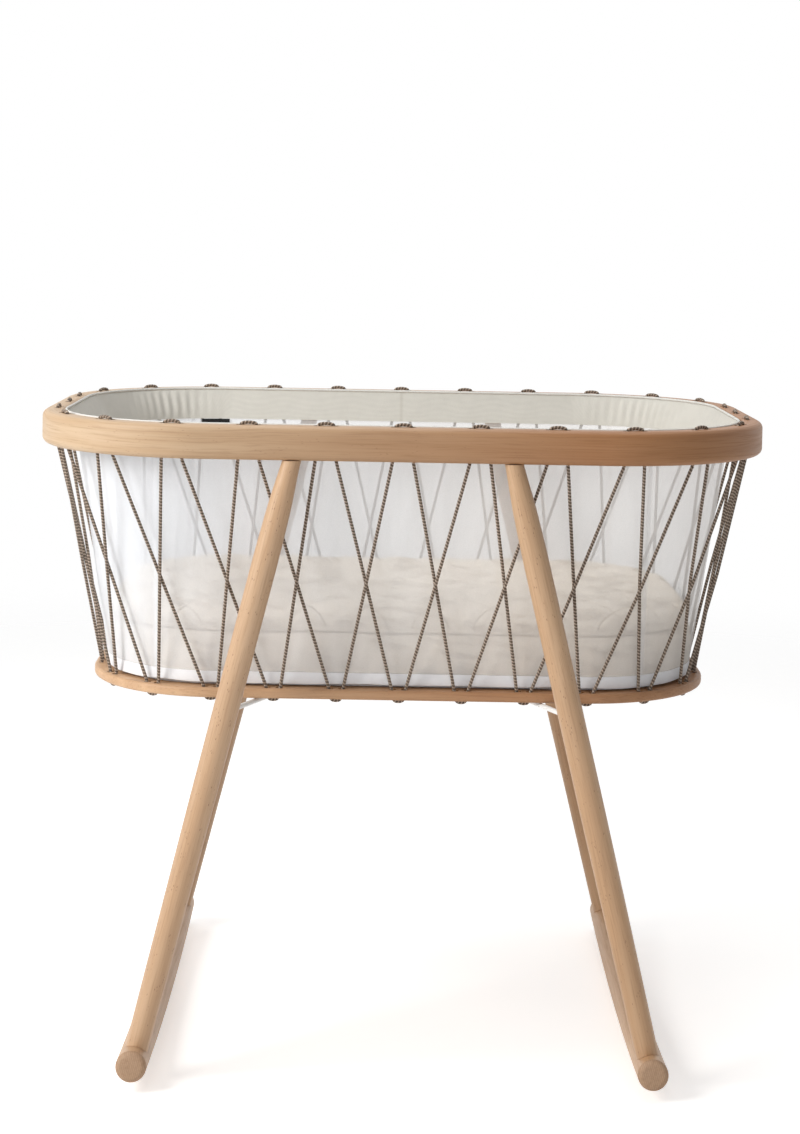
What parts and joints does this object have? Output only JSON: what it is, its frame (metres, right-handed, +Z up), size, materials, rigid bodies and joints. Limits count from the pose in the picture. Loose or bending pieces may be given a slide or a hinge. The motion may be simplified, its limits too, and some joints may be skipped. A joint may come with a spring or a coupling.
{
  "type": "rocking baby cradle",
  "caption": "Oval wooden cradle on splayed legs and curved rocker rods, with a base board laced below the rim by crossing cords and a net liner holding a quilted mattress.",
  "frame": {"origin": "on the floor, under the middle of the cradle", "axes": "+X along the cradle, +Y towards its back, +Z up"},
  "size_m": [0.894, 0.6306, 0.7834],
  "materials": {
    "beech": "clear matt lacquer over pale beech",
    "braided_cord": "braided taupe cord with light flecks",
    "white_steel": "white powder coat",
    "zinc_steel": "zinc plated",
    "cotton": "cream woven cotton",
    "net": "fine white knitted net, see-through",
    "foam": "open-cell foam",
    "quilted_cotton": "undyed quilted cotton",
    "tag": "plain dark woven tape"
  },
  "bodies": {
    "cradle": {"base_board": "beech", "brace_hub": "white_steel", "brace_rod_back_left": "white_steel", "brace_rod_back_right": "white_steel", "brace_rod_front_left": "white_steel", "brace_rod_front_right": "white_steel", "foot_bolt_back_left": "zinc_steel", "foot_bolt_back_right": "zinc_steel", "foot_bolt_front_left": "zinc_steel", "foot_bolt_front_right": "zinc_steel", "foot_sleeve_back_left": "zinc_steel", "foot_sleeve_back_right": "zinc_steel", "foot_sleeve_front_left": "zinc_steel", "foot_sleeve_front_right": "zinc_steel", "hub_screw_1": "zinc_steel", "hub_screw_2": "zinc_steel", "hub_screw_3": "zinc_steel", "hub_screw_4": "zinc_steel", "lacing_cord_a": "braided_cord", "lacing_cord_b": "braided_cord", "leg_back_left": "beech", "leg_back_right": "beech", "leg_front_left": "beech", "leg_front_right": "beech", "leg_stud_back_left": "zinc_steel", "leg_stud_back_right": "zinc_steel", "leg_stud_front_left": "zinc_steel", "leg_stud_front_right": "zinc_steel", "liner_band": "cotton", "liner_floor": "cotton", "liner_hem": "cotton", "liner_hook_strip": "cotton", "liner_net_wall": "net", "liner_piping": "cotton", "liner_tag": "tag", "rim_sleeve_back_left": "zinc_steel", "rim_sleeve_back_right": "zinc_steel", "rim_sleeve_front_left": "zinc_steel", "rim_sleeve_front_right": "zinc_steel", "rocker_left": "beech", "rocker_right": "beech", "top_rim": "beech"},
    "mattress": {"mattress_core": "foam", "mattress_cover": "quilted_cotton"}
  },
  "joints": [
    {"name": "mattress_lift", "type": "slide", "parent": "cradle", "child": "mattress", "axis": [0, 0, 1], "range_m": [0, 0.4]}
  ]
}
